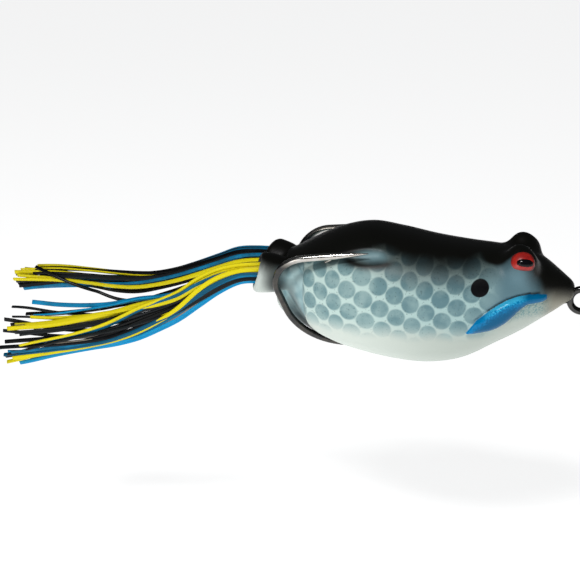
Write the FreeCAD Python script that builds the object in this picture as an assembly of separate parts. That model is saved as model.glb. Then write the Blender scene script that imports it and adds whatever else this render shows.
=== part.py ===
import FreeCAD, Part
import math
import os

# Hollow-body topwater frog lure with a double hook and two strand-skirt legs.
# Frame: origin at the centre of the line-tie ring, +X towards the nose, +Y to the lure's
# left, +Z up. The tail and its skirts run back along -X. All sizes are in millimetres.

# Hook wire
WIRE_R = 0.7
SHANK_DROP_DEG = 15.0          # the shank falls this much below level on its way back
HOOK_TILT_DEG = 28.0           # each hook leans out from the vertical
SHANK_HALF_GAP = 0.75          # each shank's centre line from the middle plane
HEEL_S = 56.7                  # back of the bend, measured along the shank from the ring
BEND_R = 12.8
SHOULDER_R = 6.8
SHOULDER_H = 26.1              # height of the bend's upper corner above the shank
TIP_S, TIP_H = 36.5, 22.8
NEEDLE_LENGTH = 9.0
NEEDLE_TIP_R = 0.08
BARB_FROM_TIP = 6.5
BARB_LENGTH, BARB_HEIGHT, BARB_WIDTH = 2.2, 0.75, 0.5
JOG_S = (9.5, 13.5)            # the ringed shank steps sideways over this stretch
JOG_R = 12.0

# Line-tie ring, bent from the right hook's wire
RING_R = 2.25
RING_EYE_R = 1.65              # clear hole for the line or snap

# Braze and belly weight on the pair of shanks
BRAZE_S = (12.0, 25.0)
BRAZE_WIDTH, BRAZE_HEIGHT = 1.3, 1.3
WEIGHT_S = (25.0, 38.0)
WEIGHT_WIDTH = 9.0
WEIGHT_H = (-3.0, 2.6)
WEIGHT_EDGE_R = 2.2

# Soft body: x, half width, top, bottom, height of the widest point
BODY_STATIONS = (
    (-1.5, 1.3, 2.9, 0.5, 1.7),
    (-2.6, 2.7, 4.1, -0.8, 1.6),
    (-4.5, 4.5, 5.6, -2.1, 1.6),
    (-7.5, 6.8, 7.9, -4.1, 1.8),
    (-11.0, 8.6, 9.4, -6.4, 1.8),
    (-16.0, 10.3, 10.6, -9.4, 1.5),
    (-22.0, 12.0, 11.1, -12.3, 0.8),
    (-29.0, 13.2, 11.9, -14.2, 0.3),
    (-36.0, 13.8, 13.1, -14.5, 0.0),
    (-42.0, 13.6, 13.6, -13.3, 0.3),
    (-48.0, 12.4, 12.2, -10.8, 1.0),
    (-53.0, 10.2, 9.9, -8.2, 1.8),
    (-57.0, 7.4, 7.6, -4.4, 2.6),
    (-60.0, 5.2, 6.2, -0.4, 3.2),
)
SECTION_POWER = 2.25           # 2 would be an ellipse
SECTION_POINTS = 24
WALL = 1.5
CAVITY_STATIONS = slice(3, 13)
CHANNEL_S = (44.5, 62.0)       # open belly channel that the hook shanks leave through
CHANNEL_R = 2.3
TROUGH_R = 1.9                 # shallow rests in the back for the hook points
TROUGH_REACH = 2.5

# Eyes
EYE_BUMP_R = 3.4
EYE_BUMP = (-11.5, 6.2, 8.2)
EYE_AXIS = (0.04, 0.89, 0.45)
EYE_R = 2.35
EYE_PROUD = 0.2
EYE_DEPTH = 1.0
EYE_FLAT = 1.7                 # the eye's lower edge is flat, this far under its middle
PUPIL_SIZE = (2.9, 1.4)
PUPIL_SHIFT = (0.5, 0.2)       # forwards of and below the eye's middle
PUPIL_PROUD = 0.15
PUPIL_DEPTH = 0.4

# Leg tubes that hold the skirts
TUBE_MOUTH = (-64.5, 6.0, 3.6)
TUBE_ROOT = (-57.0, 4.0, 2.9)
TUBE_MOUTH_R, TUBE_ROOT_R = 3.9, 2.7
BORE_R, BORE_DEPTH = 3.15, 2.5
MOUTH_FLARE = 0.55
SOCKET_R, SOCKET_DEPTH = 2.4, 5.2
BAND_SPAN = (2.9, 5.1)
DRAIN_R = 1.6
PIVOT_DEPTH = 1.2
TIE_RADII = (2.5, 3.0)
TIE_WIDTH = 0.6

# Skirt strands
STRAND_R = 0.36
STRAND_PITCH = 0.84            # spacing where the bundle is packed in its tube
STRAND_START_DEPTH = 1.8
# Middle of each skirt: x, distance from the middle plane, height, spread of the fan
RIGHT_FLOW = (
    (-72.0, 6.4, 1.3, 1.15),
    (-82.0, 6.8, -2.3, 1.7),
    (-95.0, 7.4, -7.0, 2.4),
    (-107.0, 8.0, -10.8, 2.9),
    (-120.3, 8.6, -12.6, 3.6),
)
LEFT_FLOW = (
    (-72.0, 6.4, 4.0, 1.15),
    (-82.0, 6.8, 1.0, 1.5),
    (-95.0, 7.3, -2.6, 1.8),
    (-108.0, 7.8, -4.4, 2.1),
    (-124.5, 8.6, -5.4, 2.3),
)
FAN_FLATTEN = 0.75             # the fans are narrower sideways than they are tall
CORNER_SHARE = 0.45
LENGTH_STEPS = (0.0, 0.10, 0.04, 0.16, 0.07, 0.13, 0.02)
COLOUR_CYCLE = ("yellow", "black", "blue", "black", "smoke", "yellow", "blue")

V = FreeCAD.Vector
MIDDLE_AXIS = V(0, 1, 0)
DROP = math.radians(SHANK_DROP_DEG)
TILT = math.radians(HOOK_TILT_DEG)
ALONG_SHANK = V(-math.cos(DROP), 0, -math.sin(DROP))
ABOVE_SHANK = V(-math.sin(DROP), 0, math.cos(DROP))
SIDES = {"left": 1, "right": -1}


def shank_point(s, y, h):
    """A point s along the shank, y sideways and h above it."""
    return ALONG_SHANK * s + MIDDLE_AXIS * y + ABOVE_SHANK * h


def hook_rise(side):
    """The direction from the shank up one hook's plane."""
    return ABOVE_SHANK * math.cos(TILT) + MIDDLE_AXIS * (side * math.sin(TILT))


def hook_point(s, h, side):
    return shank_point(s, side * SHANK_HALF_GAP, 0) + hook_rise(side) * h


def mirrored(xyz, side):
    """A point or direction given for the left, on the asked side."""
    return V(xyz[0], xyz[1] * side, xyz[2])


def rounded_path(points, radii):
    """Straight runs joined by tangent arcs; one radius for each inner point."""
    edges = []
    start = points[0]
    for before, corner, after, radius in zip(points, points[1:], points[2:], radii):
        back = (before - corner).normalize()
        ahead = (after - corner).normalize()
        half_turn = (math.pi - back.getAngle(ahead)) / 2
        reach = radius * math.tan(half_turn)
        arc_start = corner + back * reach
        arc_end = corner + ahead * reach
        middle = (back + ahead).normalize()
        arc_middle = corner + middle * (radius / math.cos(half_turn) - radius)
        edges.append(Part.LineSegment(start, arc_start).toShape())
        edges.append(Part.Arc(arc_start, arc_middle, arc_end).toShape())
        start = arc_end
    edges.append(Part.LineSegment(start, points[-1]).toShape())
    return Part.Wire(edges)


def round_tube(path, radius):
    """A round bar along a path."""
    first = path.Edges[0]
    tangent = first.tangentAt(first.FirstParameter)
    start = first.valueAt(first.FirstParameter)
    profile = Part.Wire([Part.Circle(start, tangent, radius).toShape()])
    return path.makePipeShell([profile], True, False)


def barb(side):
    """The small wedge raised on the inside of the needle."""
    tip = hook_point(TIP_S, TIP_H, side)
    shoulder = hook_point(HEEL_S, SHOULDER_H, side)
    back = (shoulder - tip).normalize()
    inward = back.cross(back.cross(hook_rise(side))).normalize()
    across = back.cross(inward).normalize() * BARB_WIDTH
    base = tip + back * BARB_FROM_TIP
    foot = base + back * BARB_LENGTH
    crest = foot + inward * (WIRE_R + BARB_HEIGHT)
    outline = [point - across * 0.5 for point in (base, foot, crest, base)]
    return Part.Face(Part.makePolygon(outline)).extrude(across)


def hook_bar(start_points, start_radii, side):
    """One hook from its shank to its needle, with its barb."""
    heel = hook_point(HEEL_S, 0, side)
    shoulder = hook_point(HEEL_S, SHOULDER_H, side)
    tip = hook_point(TIP_S, TIP_H, side)
    needle_dir = (tip - shoulder).normalize()
    needle_base = tip - needle_dir * NEEDLE_LENGTH
    points = start_points + [heel, shoulder, needle_base]
    bar = round_tube(rounded_path(points, start_radii + [BEND_R, SHOULDER_R]), WIRE_R)
    needle = Part.makeCone(WIRE_R, NEEDLE_TIP_R, NEEDLE_LENGTH, needle_base, needle_dir)
    return bar.fuse(needle).fuse(barb(side)).removeSplitter()


def line_ring(wire_r):
    return Part.makeTorus(RING_R, wire_r, V(0, 0, 0), MIDDLE_AXIS)


def hook_right():
    """The right hook, whose shank ends in the line-tie ring."""
    gap = -SHANK_HALF_GAP
    starts = [shank_point(RING_R, 0, 0), shank_point(JOG_S[0], 0, 0),
              shank_point(JOG_S[1], gap, 0)]
    bar = hook_bar(starts, [JOG_R, JOG_R], SIDES["right"])
    eye = Part.makeCylinder(RING_EYE_R, 4 * WIRE_R, V(0, -2 * WIRE_R, 0), MIDDLE_AXIS)
    return bar.fuse(line_ring(WIRE_R)).cut(eye).removeSplitter()


def hook_left():
    """The left hook, brazed beside the right one."""
    start = shank_point(JOG_S[1], SHANK_HALF_GAP, 0)
    return hook_bar([start], [], SIDES["left"])


def shank_block(s_span, width, h_span):
    """A block square to the shank."""
    corner = shank_point(s_span[0], -width / 2, h_span[0])
    length = s_span[1] - s_span[0]
    floor = Part.Face(Part.makePolygon([
        corner,
        corner + ALONG_SHANK * length,
        corner + ALONG_SHANK * length + MIDDLE_AXIS * width,
        corner + MIDDLE_AXIS * width,
        corner,
    ]))
    return floor.extrude(ABOVE_SHANK * (h_span[1] - h_span[0]))


def shank_braze(hooks):
    half = BRAZE_HEIGHT / 2
    block = shank_block(BRAZE_S, BRAZE_WIDTH, (-half, half))
    return block.cut(hooks)


def belly_weight(hooks):
    block = shank_block(WEIGHT_S, WEIGHT_WIDTH, WEIGHT_H)
    block = block.makeFillet(WEIGHT_EDGE_R, block.Edges)
    return block.cut(hooks)


def body_section(station, inset):
    """One closed cross-section of the body, rounder than a box and fuller than an ellipse."""
    x, half_width, top, bottom, widest = station
    points = []
    for i in range(SECTION_POINTS):
        turn = 2 * math.pi * i / SECTION_POINTS
        c, s = math.cos(turn), math.sin(turn)
        reach = (top - widest - inset) if s > 0 else (widest - bottom - inset)
        y = (half_width - inset) * math.copysign(abs(c) ** (2 / SECTION_POWER), c)
        z = widest + reach * math.copysign(abs(s) ** (2 / SECTION_POWER), s)
        points.append(V(x, y, z))
    curve = Part.BSplineCurve()
    curve.interpolate(points, PeriodicFlag=True)
    return Part.Wire([curve.toShape()])


def lofted_body(stations, inset):
    return Part.makeLoft([body_section(s, inset) for s in stations], True, False)


def capsule(start, end, radius):
    """A round bar with ball ends."""
    bar = Part.makeCylinder(radius, (end - start).Length, start, end - start)
    return bar.fuse([Part.makeSphere(radius, start), Part.makeSphere(radius, end)])


def tube_point(side, depth):
    """A point on a leg tube's axis, depth inside its mouth."""
    mouth = mirrored(TUBE_MOUTH, side)
    inward = (mirrored(TUBE_ROOT, side) - mouth).normalize()
    return mouth + inward * depth, inward


def tube_cylinder(side, radius, from_depth, to_depth):
    start, inward = tube_point(side, from_depth)
    return Part.makeCylinder(radius, to_depth - from_depth, start, inward)


def leg_tube(side):
    mouth, inward = tube_point(side, 0)
    length = (V(*TUBE_ROOT) - V(*TUBE_MOUTH)).Length
    return Part.makeCone(TUBE_MOUTH_R, TUBE_ROOT_R, length, mouth, inward)


def tube_bore(side):
    """Flared mouth, strand bore, band socket and the drain into the body."""
    mouth, inward = tube_point(side, 0)
    flare = Part.makeCone(BORE_R + MOUTH_FLARE, BORE_R, MOUTH_FLARE, mouth, inward)
    bore = tube_cylinder(side, BORE_R, 0, BORE_DEPTH)
    socket = tube_cylinder(side, SOCKET_R, 0, SOCKET_DEPTH)
    drain = tube_cylinder(side, DRAIN_R, 0, SOCKET_DEPTH + 2 * WALL)
    return bore.fuse([flare, socket, drain])


def trough(side):
    """The rest in the body that a hook point lies over."""
    tip = hook_point(TIP_S, TIP_H, side)
    back = (hook_point(HEEL_S, SHOULDER_H, side) - tip).normalize()
    return capsule(tip - back * TROUGH_REACH, tip + back * NEEDLE_LENGTH, TROUGH_R)


def eye_bump(side):
    return Part.makeSphere(EYE_BUMP_R, mirrored(EYE_BUMP, side))


def eye_shell(side, outer, inner, prism):
    """The part of a thin ball shell about the bump's centre that lies inside a prism."""
    centre = mirrored(EYE_BUMP, side)
    shell = Part.makeSphere(outer, centre).cut(Part.makeSphere(inner, centre))
    return shell.common(prism)


def eye_prism(side, half_length, radius, flat, shift=(0, 0)):
    """A stadium prism pointing out along the eye's axis, cut flat at its lower edge."""
    out = mirrored(EYE_AXIS, side).normalize()
    forward = V(1, 0, 0)
    forward = (forward - out * forward.dot(out)).normalize()
    down = out.cross(forward).normalize()
    if down.z > 0:
        down = down * -1
    reach = EYE_BUMP_R + 1
    centre = mirrored(EYE_BUMP, side) + forward * shift[0] + down * shift[1]
    ends = [centre - forward * half_length, centre + forward * half_length]
    bars = [Part.makeCylinder(radius, reach, end, out) for end in ends]
    slab = [ends[0] - down * radius, ends[1] - down * radius,
            ends[1] + down * radius, ends[0] + down * radius]
    block = Part.Face(Part.makePolygon(slab + slab[:1])).extrude(out * reach)
    prism = bars[0].fuse([bars[1], block]).removeSplitter()
    width = 2 * (half_length + radius)
    corner = centre + down * flat - forward * width / 2
    below = Part.Face(Part.makePolygon([
        corner,
        corner + forward * width,
        corner + forward * width + down * radius,
        corner + down * radius,
        corner,
    ])).extrude(out * reach)
    return prism.cut(below)


def pupil(side):
    length, height = PUPIL_SIZE
    prism = eye_prism(side, (length - height) / 2, height / 2, height, PUPIL_SHIFT)
    outer = EYE_BUMP_R + EYE_PROUD + PUPIL_PROUD
    return eye_shell(side, outer, EYE_BUMP_R + EYE_PROUD - PUPIL_DEPTH, prism)


def eye(side):
    prism = eye_prism(side, 0.1, EYE_R, EYE_FLAT)
    whole = eye_shell(side, EYE_BUMP_R + EYE_PROUD, EYE_BUMP_R - EYE_DEPTH, prism)
    return whole.cut(pupil(side))


def body_shell():
    """The hollow moulded body with its bumps, leg tubes, channel and rests."""
    body = lofted_body(BODY_STATIONS, 0)
    body = body.fuse([eye_bump(side) for side in SIDES.values()])
    body = body.fuse([leg_tube(side) for side in SIDES.values()])
    cavity = lofted_body(BODY_STATIONS[CAVITY_STATIONS], WALL)
    channel = capsule(shank_point(CHANNEL_S[0], 0, 0), shank_point(CHANNEL_S[1], 0, 0), CHANNEL_R)
    cutters = [cavity, channel, line_ring(WIRE_R)]
    cutters.append(Part.makeCylinder(WIRE_R, JOG_S[0], shank_point(0, 0, 0), ALONG_SHANK))
    for side in SIDES.values():
        cutters += [tube_bore(side), trough(side), eye(side), pupil(side)]
    for cutter in cutters:
        body = body.cut(cutter)
    return largest_solid(body)


def largest_solid(shape):
    return max(shape.Solids, key=lambda solid: solid.Volume)


def skirt_band(side):
    """The plug that the strands are gathered on, deep in the tube."""
    return tube_cylinder(side, SOCKET_R, *BAND_SPAN)


def skirt_tie(side):
    """The ring that ties the strands where they leave the tube."""
    span = (PIVOT_DEPTH - TIE_WIDTH / 2, PIVOT_DEPTH + TIE_WIDTH / 2)
    outer = tube_cylinder(side, TIE_RADII[1], *span)
    return outer.cut(tube_cylinder(side, TIE_RADII[0], *span))


def hex_offsets():
    """Nineteen places packed as tightly as round strands go, middle first."""
    spots = []
    for row in range(-2, 3):
        for column in range(-2, 3):
            y = column + row / 2
            z = row * math.sqrt(3) / 2
            if math.hypot(y, z) < 2.1:
                spots.append((y * STRAND_PITCH, z * STRAND_PITCH))
    return sorted(spots, key=lambda spot: (round(math.hypot(*spot), 3), math.atan2(spot[1], spot[0])))


def strand_route(side, flow, spot, shortening):
    """One strand's corner points, from inside its tube to its cut end."""
    start, _ = tube_point(side, STRAND_START_DEPTH)
    leave, _ = tube_point(side, -1.5)
    points = [start + V(0, spot[0], spot[1]), leave + V(0, spot[0], spot[1])]
    for x, y, z, spread in flow:
        points.append(V(x, side * y + spot[0] * spread * FAN_FLATTEN, z + spot[1] * spread))
    last_run = points[-1] - points[-2]
    points[-1] = points[-2] + last_run * (1 - shortening * len(flow))
    return points


def strand(side, flow, spot, shortening):
    points = strand_route(side, flow, spot, shortening)
    radii = []
    for before, corner, after in zip(points, points[1:], points[2:]):
        back, ahead = before - corner, after - corner
        half_turn = (math.pi - back.getAngle(ahead)) / 2
        radii.append(CORNER_SHARE * min(back.Length, ahead.Length) / math.tan(half_turn))
    return round_tube(rounded_path(points, radii), STRAND_R)


def skirt_strands(side, flow):
    """The strands of one leg, grouped by colour."""
    groups = {}
    for i, spot in enumerate(hex_offsets()):
        colour = COLOUR_CYCLE[i % len(COLOUR_CYCLE)]
        shortening = LENGTH_STEPS[(3 * i) % len(LENGTH_STEPS)]
        groups.setdefault(colour, []).append(strand(side, flow, spot, shortening))
    return {colour: Part.makeCompound(solids) for colour, solids in groups.items()}


def make_nodes():
    right, left = hook_right(), hook_left()
    hooks = right.fuse(left)
    nodes = {
        "body_shell": body_shell(),
        "hook_right": right,
        "hook_left": left,
        "shank_braze": shank_braze(hooks),
        "belly_weight": belly_weight(hooks),
    }
    flows = {"left": LEFT_FLOW, "right": RIGHT_FLOW}
    for name, side in SIDES.items():
        nodes["eye_" + name] = eye(side)
        nodes["pupil_" + name] = pupil(side)
        nodes["skirt_band_" + name] = skirt_band(side)
        nodes["skirt_tie_" + name] = skirt_tie(side)
        for colour, strands in skirt_strands(side, flows[name]).items():
            nodes["strands_" + colour + "_" + name] = strands
    return nodes


def main():
    os.makedirs("parts", exist_ok=True)
    for name, shape in make_nodes().items():
        if not shape.isValid():
            raise ValueError(name + " is not a valid shape")
        shape.exportStep("parts/" + name + ".step")
        box = shape.BoundBox
        print("%-22s %3d solid %9.1f mm3  x %.1f %.1f  y %.1f %.1f  z %.1f %.1f" % (
            name, len(shape.Solids), shape.Volume,
            box.XMin, box.XMax, box.YMin, box.YMax, box.ZMin, box.ZMax))


main()
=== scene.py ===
import bpy
import math
import numpy as np
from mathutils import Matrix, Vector


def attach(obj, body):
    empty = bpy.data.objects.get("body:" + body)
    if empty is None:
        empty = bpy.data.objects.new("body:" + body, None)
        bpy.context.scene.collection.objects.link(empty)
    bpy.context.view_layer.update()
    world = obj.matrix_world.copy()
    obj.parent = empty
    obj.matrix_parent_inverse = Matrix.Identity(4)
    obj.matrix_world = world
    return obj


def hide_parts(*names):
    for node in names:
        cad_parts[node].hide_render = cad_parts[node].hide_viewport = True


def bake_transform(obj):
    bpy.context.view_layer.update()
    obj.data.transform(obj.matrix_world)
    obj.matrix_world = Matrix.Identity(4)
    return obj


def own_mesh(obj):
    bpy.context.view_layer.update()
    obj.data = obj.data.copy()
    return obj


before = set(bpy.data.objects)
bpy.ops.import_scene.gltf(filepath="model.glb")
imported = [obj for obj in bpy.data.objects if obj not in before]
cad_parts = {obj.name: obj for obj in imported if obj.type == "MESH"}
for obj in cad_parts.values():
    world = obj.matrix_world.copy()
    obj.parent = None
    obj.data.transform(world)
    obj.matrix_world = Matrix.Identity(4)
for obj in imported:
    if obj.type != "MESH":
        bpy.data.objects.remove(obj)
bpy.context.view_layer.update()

# Looks of a hollow-body frog lure. Shapes are worked out in millimetres in the frame's own
# axes (+X nose, +Y the lure's left, +Z up) and turned into metres when a mesh is made.
MM = 0.001
SIDES = {"left": 1, "right": -1}
rng = np.random.default_rng(7)

# ---- hooks
# S is a length along the shanks from the middle of the line-tie ring, H a height above them in a
# hook's own plane
WIRE_R = 0.7
DROP = math.radians(15)        # the shanks run back and down
TILT = math.radians(28)        # each hook leans outwards
SHANK_HALF_GAP = 0.75
HEEL_S = 56.7
BEND_R, SHOULDER_R = 12.8, 6.8
SHOULDER_H = 26.1
TIP_S, TIP_H = 36.5, 22.8
NEEDLE_LENGTH, NEEDLE_TIP_R, NEEDLE_STEPS = 9.0, 0.08, 10
BARB_FROM_TIP, BARB_LENGTH, BARB_HEIGHT = 6.5, 2.2, 0.75
BARB_ROOT = 0.6                # extra length at its root, inside the needle
ARC_STEPS = 16
WIRE_SIDES, FLAT_SIDES = 20, 10      # points round the wire, and round a barb or a strand
RING_R = 2.25
JOG_S = (9.5, 13.5)
JOG_R = 12.0
NECK = ((-2.25, 0, 0.1), (-4.5, 0, -0.45))        # the wire dips into the nose behind the ring
NECK_R = 8.0
ALONG_SHANK = np.array([-math.cos(DROP), 0, -math.sin(DROP)])
ABOVE_SHANK = np.array([-math.sin(DROP), 0, math.cos(DROP)])
SIDEWAYS = np.array([0.0, 1.0, 0.0])

# ---- soft body
# x, half width, top, bottom, height of the widest point
BODY_STATIONS = (
    (-60.0, 5.2, 6.2, 0.1, 3.2),
    (-57.0, 7.4, 7.6, -4.2, 2.6),
    (-53.0, 10.2, 9.8, -8.8, 1.8),
    (-48.0, 12.4, 12.0, -11.2, 1.0),
    (-42.0, 13.6, 13.3, -12.7, 0.3),
    (-36.0, 13.8, 12.6, -13.7, 0.0),
    (-29.0, 13.2, 11.3, -14.05, 0.3),
    (-22.0, 12.0, 10.5, -12.5, 0.8),
    (-16.0, 10.3, 10.1, -9.1, 1.5),
    (-11.0, 8.6, 9.4, -6.1, 1.8),
    (-7.5, 6.8, 8.0, -3.6, 1.8),
    (-4.5, 4.5, 5.8, -1.5, 1.8),
    (-2.6, 2.7, 4.3, -0.15, 1.9),
    (-1.5, 1.6, 3.5, 0.4, 1.9),
)
SECTION_POWER = 2.25
GRID_STEP = 0.3
GRID_LOW, GRID_HIGH = (-67.2, -0.45, -15.6), (-0.9, 14.4, 14.4)
NOSE_X = -1.45
FLANK_END_X = -53.8            # the patterned flanks stop here with a small step
FLANK_STEP = 0.7
RUMP_END_X = -60.1
EYE_BUMP = np.array([-11.75, 5.7, 8.05])
EYE_BUMP_R = 3.2
EYE_AXIS = (0.12, 0.915, 0.385)
EYE_R, EYE_FLAT, EYE_PROUD = 2.35, 1.5, 0.1
DOME_SIDES, DOME_RINGS = 48, 10
PUPIL_SIZE, PUPIL_SHIFT = (3.4, 1.6), (0.4, 0.02)
BROW, BROW_R = (-12.2, 4.85, 9.75), 2.05      # the raised brow inside and above each eye
KEEL = np.array([[-50.0, 0.0, -7.0], [-57.0, 0.0, -3.0]])       # soft ridge between the bends
KEEL_R = 4.2
TUBE_MOUTH = np.array([-64.25, 6.0, 3.6])
TUBE_ROOT = np.array([-57.0, 4.0, 2.9])
TUBE_R = ((-1.0, 4.05), (1.0, 4.15), (3.0, 4.0), (4.5, 3.75), (6.0, 3.3), (8.0, 2.7))    # depth, radius
TUBE_SAG = 0.2                 # the outside is a little fuller below its bore than above
MOUTH_SLANT = (0.15, 0.15)     # the rim's lower edge reaches further back
BORE_R, BORE_DEPTH, RIM_ROUND = 3.15, 2.5, 1.3
SOCKET_R, SOCKET_DEPTH = 2.4, 5.2
TIE_PLACE = (-63.3, 5.69, 3.5)
TIE_R = (2.2, 0.32)            # the tie ring round each skirt: its circle and its thickness
CHANNEL_S = (45.5, 62.0)
CHANNEL_R = 2.7
REST_R = 1.9

# Lip stripe on the cheek: outline in x and z, upper edge from the rear, then the lower edge back
LIP_UPPER = ((-21.5, -4.75), (-19.5, -2.1), (-17.2, -0.15), (-15.7, 0.9), (-13.9, 1.95), (-12.0, 2.6),
             (-9.8, 2.95), (-8.2, 3.0), (-6.6, 2.7))
LIP_LOWER = ((-6.5, 1.75), (-7.4, 1.3), (-8.6, 1.15), (-10.0, 1.0), (-11.0, 0.35), (-12.0, -0.6),
             (-13.1, -1.9), (-14.2, -3.0), (-15.6, -3.95), (-17.0, -4.5), (-19.0, -4.8), (-20.8, -5.0))
LIP_HEIGHT, LIP_ROLL = 0.95, 1.5
FACE_Y = 3.0                   # the lip, crease and spot are drawn only past this
CREASE_DEPTH, CREASE_WIDTH = 0.45, 0.3

# Edge of the dark back, x and z
BACK_EDGE = ((-66, 6.0), (-63, 5.8), (-60, 4.6), (-57.5, 4.2), (-55.5, 5.6), (-53, 6.9), (-50, 7.7),
             (-45, 8.3), (-40, 9.2), (-36, 8.3), (-32, 7.3), (-27, 6.8), (-22, 6.8), (-18, 8.1),
             (-15, 9.2), (-12, 10.6), (-11, 9.2), (-9.5, 6.5), (-7.0, 2.9), (-4.4, 2.4), (-1.5, 1.2))
# x, and how fast the dark comes in above that edge
BACK_SHARP = ((-66, 2.2), (-60, 2.0), (-56, 2.4), (-46, 2.2), (-38, 1.0), (-15, 1.0), (-9.5, 1.0),
              (-7.5, 1.5), (-6, 1.7), (-1.5, 1.7))

# Scale pattern: columns where it crosses the flank, and the two repeats of its net
SCALE_COLUMNS = (-52.0, -49.4, -46.8, -44.0, -40.7, -37.7, -34.7, -31.9, -29.1, -26.3)
SCALE_ZERO_COLUMN = 5
SCALE_ZERO_Z = -0.16
SCALE_ACROSS = (5.86, 1.15)
SCALE_UP = (-0.44, 4.31)
SCALE_DOT_R = 1.73

SPOT = (-19.05, 4.35)
SPOT_R = 1.7
PATCH_PLACE, PATCH_SIZE = (-40.0, 8.9), (3.1, 1.15)      # pale patch round the hook's point
CRESCENT_PLACE = (-40.6, 7.6)                            # painted shadow: dark line under the patch


def unit(vector):
    vector = np.asarray(vector, float)
    return vector / np.linalg.norm(vector)


def mirrored(point, side):
    """A point or direction given for the left, on the asked side."""
    return np.asarray(point, float) * np.array([1, side, 1])


def eased(value, start, end):
    """0 before start and 1 after end, with a smooth turn between."""
    t = np.clip((value - start) / (end - start), 0, 1)
    return t * t * (3 - 2 * t)


def joined(a, b, radius):
    """Union of two distance fields with a fillet."""
    share = np.clip(0.5 + 0.5 * (b - a) / radius, 0, 1)
    return b + (a - b) * share - radius * share * (1 - share)


def kept(a, b, radius):
    """Intersection of two distance fields with a rounded edge."""
    return -joined(-a, -b, radius)


def cut(a, tool, radius):
    """One field less another, with a rounded edge."""
    return kept(a, -tool, radius)


def curve_table(x, rows):
    """The columns of a table, interpolated smoothly along its first column."""
    table = np.array(rows, float)
    knots, values = table[:, 0], table[:, 1:]
    slopes = np.gradient(values, knots, axis=0)
    x = np.clip(x, knots[0], knots[-1])
    i = np.clip(np.searchsorted(knots, x) - 1, 0, len(knots) - 2)
    span = knots[i + 1] - knots[i]
    t = (x - knots[i]) / span
    columns = []
    for c in range(values.shape[1]):
        v, m = values[:, c], slopes[:, c]
        columns.append((2 * t ** 3 - 3 * t ** 2 + 1) * v[i] + (t ** 3 - 2 * t ** 2 + t) * span * m[i]
                       + (3 * t ** 2 - 2 * t ** 3) * v[i + 1] + (t ** 3 - t ** 2) * span * m[i + 1])
    return columns


def open_line_distance(x, z, line):
    """Distance in the x-z plane to a line of straight runs."""
    nearest = np.full(np.broadcast(x, z).shape, np.inf)
    for (x0, z0), (x1, z1) in zip(line, line[1:]):
        dx, dz = x1 - x0, z1 - z0
        t = np.clip(((x - x0) * dx + (z - z0) * dz) / (dx * dx + dz * dz), 0, 1)
        nearest = np.minimum(nearest, np.hypot(x - x0 - t * dx, z - z0 - t * dz))
    return nearest


def outline_distance(x, z, outline):
    """Signed distance in the x-z plane to a closed outline, negative inside."""
    closed = outline + outline[:1]
    nearest = open_line_distance(x, z, closed)
    inside = np.zeros(nearest.shape, bool)
    for (x0, z0), (x1, z1) in zip(closed, closed[1:]):
        if z1 != z0:
            crosses = (z0 > z) != (z1 > z)
            inside ^= crosses & (x < x0 + (z - z0) / (z1 - z0) * (x1 - x0))
    return np.where(inside, -nearest, nearest)


def ball_distance(x, y, z, centre, radius):
    return np.sqrt((x - centre[0]) ** 2 + (y - centre[1]) ** 2 + (z - centre[2]) ** 2) - radius


# ---- meshes
def make_mesh(name, material, vertices, faces, fields=None):
    """An object from points in millimetres, with its rest place and other fields kept on its points."""
    mesh = bpy.data.meshes.new(name)
    vertices = np.asarray(vertices, float)
    mesh.from_pydata((vertices * MM).tolist(), [], faces)
    mesh.update()
    rest = mesh.attributes.new("rest", "FLOAT_VECTOR", "POINT")
    rest.data.foreach_set("vector", vertices.astype(np.float32).ravel())
    for field, values in (fields or {}).items():
        attribute = mesh.attributes.new(field, "FLOAT", "POINT")
        attribute.data.foreach_set("value", np.asarray(values, np.float32))
    mesh.materials.append(material)
    mesh.shade_smooth()
    return placed(name, mesh)


def placed(name, data):
    """A new object in the scene."""
    made = bpy.data.objects.new(name, data)
    bpy.context.scene.collection.objects.link(made)
    return made


def axis_windows(axis, whole):
    """Index windows of a grid's samples and of their next neighbours along an axis."""
    near, far = [whole] * 3, [whole] * 3
    near[axis], far[axis] = slice(0, -1), slice(1, None)
    return tuple(near), tuple(far)


def crossing_middles(field, inside):
    """For each cell, the sum and the count of the places where the field changes sign on its edges."""
    total = np.zeros(tuple(n - 1 for n in field.shape) + (3,))
    count = np.zeros(total.shape[:3])
    for axis in range(3):
        near, far = axis_windows(axis, slice(None))
        crossed = inside[near] != inside[far]
        spots = np.argwhere(crossed)
        a, b = field[near][crossed], field[far][crossed]
        places = spots.astype(float)
        places[:, axis] += a / (a - b)
        others = [o for o in range(3) if o != axis]
        for shift in ((0, 0), (0, 1), (1, 0), (1, 1)):
            cell = spots.copy()
            cell[:, others] -= shift
            fits = np.all((cell >= 0) & (cell < np.array(count.shape)), axis=1)
            index = tuple(cell[fits].T)
            np.add.at(total, index, places[fits])
            np.add.at(count, index, 1)
    return total, count


def net_faces(inside, number):
    """One quad round each grid edge that crosses the surface, between numbered cells."""
    quads = []
    for axis in range(3):
        others = [(axis + 1) % 3, (axis + 2) % 3]
        near, far = axis_windows(axis, slice(1, -1))
        start, end = inside[near], inside[far]
        spots = np.argwhere(start != end)
        flip = end[start != end]
        spots[:, others] += 1
        corners = [number[tuple((spots - corner_shift(others, shift)).T)]
                   for shift in ((0, 0), (1, 0), (1, 1), (0, 1))]
        face = np.stack(corners, 1)
        face[flip] = face[flip][:, ::-1]
        quads.append(face)
    return np.concatenate(quads)


def corner_shift(others, shift):
    step = np.zeros(3, int)
    step[others] = shift
    return step


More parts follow.
